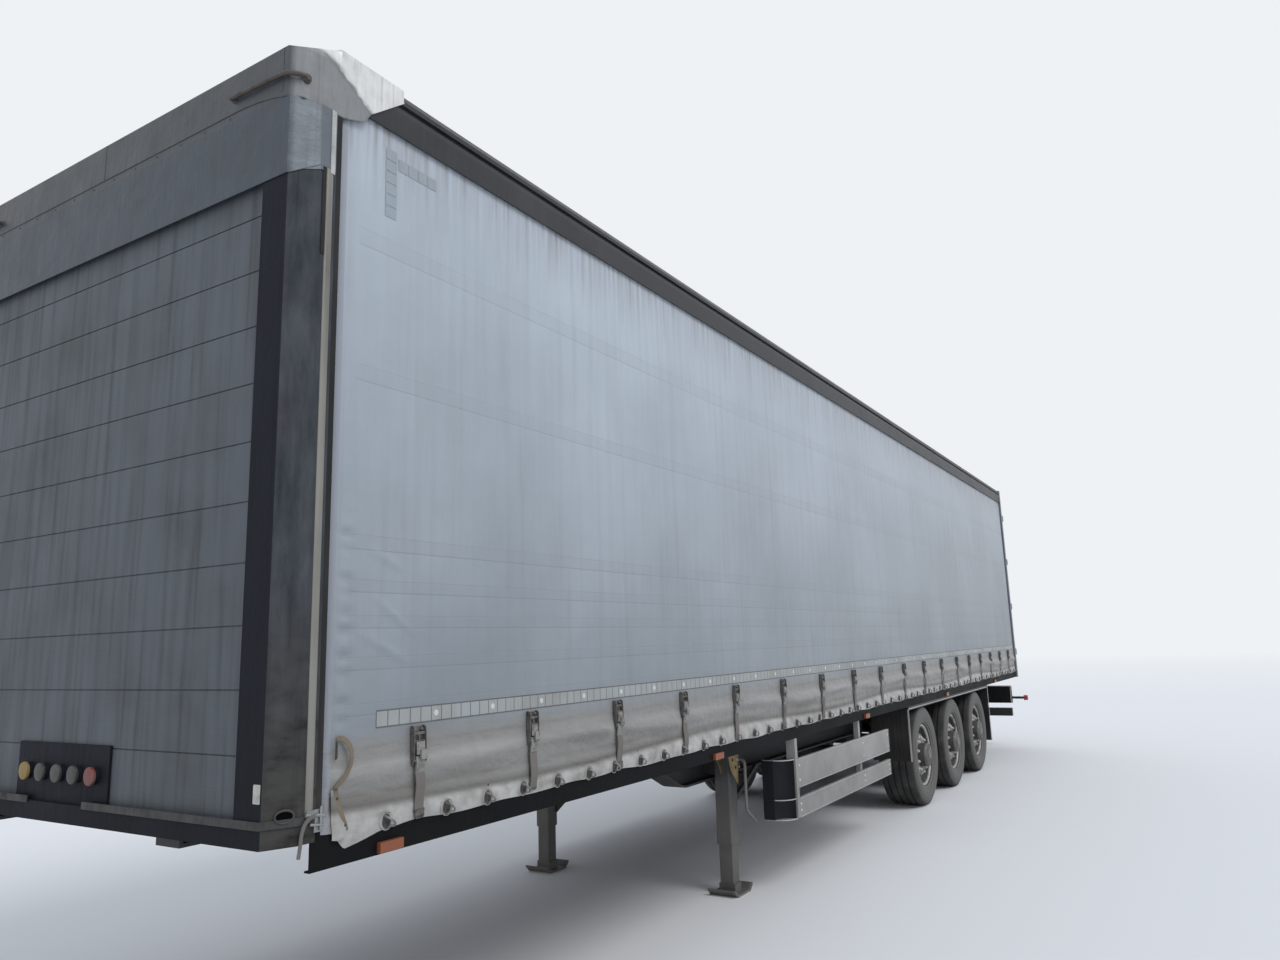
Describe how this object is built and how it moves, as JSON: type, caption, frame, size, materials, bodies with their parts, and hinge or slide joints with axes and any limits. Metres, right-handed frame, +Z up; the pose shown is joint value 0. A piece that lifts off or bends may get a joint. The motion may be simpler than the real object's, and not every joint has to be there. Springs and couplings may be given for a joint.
{
  "type": "curtain-sided semi trailer",
  "caption": "Long box semi trailer with fabric side curtains, rear doors, a triple axle group and parking legs, towed by its kingpin.",
  "frame": {"origin": "on the ground under the middle of the trailer's box", "axes": "+X rearwards, +Y to the trailer's right, +Z up"},
  "size_m": [13.76, 2.82, 4],
  "materials": {
    "chassis_paint": "dark grey-blue chassis paint, dusty",
    "rail_paint": "dark paint, dusty",
    "body_paint": "blue-grey paint, scuffed",
    "door_paint": "pale grey paint",
    "floor_wood": "dark coated plywood",
    "bare_steel": "machined steel",
    "galvanised": "galvanised steel",
    "wall_aluminium": "mill aluminium",
    "dark_anodised": "dark anodised extrusion",
    "bare_aluminium": "bare aluminium sheet, weathered",
    "roof_fabric": "pale coated fabric",
    "curtain_fabric": "silver-grey coated fabric, dusty",
    "bellows_rubber": "black rubber",
    "dark_plastic": "black moulded plastic",
    "red_lens": "red lens",
    "amber_lens": "amber lens",
    "tyre": "worn tyre, dusty",
    "wheel_steel": "silver wheel paint"
  },
  "bodies": {
    "chassis": {"main_beams": "chassis_paint", "cross_members": "chassis_paint", "side_rails": "rail_paint", "floor_deck": "floor_wood", "coupling_plate": "chassis_paint", "kingpin": "bare_steel", "front_sill": "body_paint", "front_post_left": "body_paint", "front_post_right": "body_paint", "front_wall": "wall_aluminium", "roof_rails": "dark_anodised", "front_shroud": "bare_aluminium", "front_cap": "bare_aluminium", "roof_bows": "wall_aluminium", "roof_sheet": "roof_fabric", "rear_post_left": "body_paint", "rear_post_right": "body_paint", "rear_header": "body_paint", "rear_sill": "body_paint", "curtain_left": "curtain_fabric", "curtain_right": "curtain_fabric", "side_posts_left": "wall_aluminium", "side_posts_right": "wall_aluminium", "buckles_left": "galvanised", "buckles_right": "galvanised", "leg_left": "chassis_paint", "leg_right": "chassis_paint", "leg_mounts": "chassis_paint", "side_guard_left": "wall_aluminium", "side_guard_right": "wall_aluminium", "spring_hangers": "chassis_paint", "trailing_arms": "chassis_paint", "air_springs": "bellows_rubber", "mudguards": "dark_plastic", "mud_flaps": "bellows_rubber", "light_carrier": "dark_plastic", "underrun_bar": "galvanised", "rear_lamps": "red_lens", "dock_buffers": "bellows_rubber", "side_markers": "amber_lens", "air_tanks": "chassis_paint", "axle_1": "chassis_paint", "axle_2": "chassis_paint", "axle_3": "chassis_paint"},
    "door_left": {"door_leaf_left": "door_paint", "door_gear_left": "galvanised"},
    "door_right": {"door_leaf_right": "door_paint", "door_gear_right": "galvanised"},
    "wheel_1_left_body": {"tyre_1_left": "tyre", "wheel_1_left": "wheel_steel"},
    "wheel_1_right_body": {"tyre_1_right": "tyre", "wheel_1_right": "wheel_steel"},
    "wheel_2_left_body": {"tyre_2_left": "tyre", "wheel_2_left": "wheel_steel"},
    "wheel_2_right_body": {"tyre_2_right": "tyre", "wheel_2_right": "wheel_steel"},
    "wheel_3_left_body": {"tyre_3_left": "tyre", "wheel_3_left": "wheel_steel"},
    "wheel_3_right_body": {"tyre_3_right": "tyre", "wheel_3_right": "wheel_steel"}
  },
  "joints": [
    {"name": "door_left_swing", "type": "hinge", "parent": "chassis", "child": "door_left", "pos_m": [6.81, -1.262, 2.485], "axis": [0, 0, -1], "range_deg": [0, 262]},
    {"name": "door_right_swing", "type": "hinge", "parent": "chassis", "child": "door_right", "pos_m": [6.81, 1.262, 2.485], "axis": [0, 0, 1], "range_deg": [0, 262]},
    {"name": "wheel_1_left_spin", "type": "hinge", "parent": "chassis", "child": "wheel_1_left_body", "pos_m": [1.08, -1.045, 0.5], "axis": [0, 1, 0], "continuous": true},
    {"name": "wheel_1_right_spin", "type": "hinge", "parent": "chassis", "child": "wheel_1_right_body", "pos_m": [1.08, 1.045, 0.5], "axis": [0, 1, 0], "continuous": true},
    {"name": "wheel_2_left_spin", "type": "hinge", "parent": "chassis", "child": "wheel_2_left_body", "pos_m": [2.39, -1.045, 0.5], "axis": [0, 1, 0], "continuous": true},
    {"name": "wheel_2_right_spin", "type": "hinge", "parent": "chassis", "child": "wheel_2_right_body", "pos_m": [2.39, 1.045, 0.5], "axis": [0, 1, 0], "continuous": true},
    {"name": "wheel_3_left_spin", "type": "hinge", "parent": "chassis", "child": "wheel_3_left_body", "pos_m": [3.7, -1.045, 0.5], "axis": [0, 1, 0], "continuous": true},
    {"name": "wheel_3_right_spin", "type": "hinge", "parent": "chassis", "child": "wheel_3_right_body", "pos_m": [3.7, 1.045, 0.5], "axis": [0, 1, 0], "continuous": true}
  ]
}
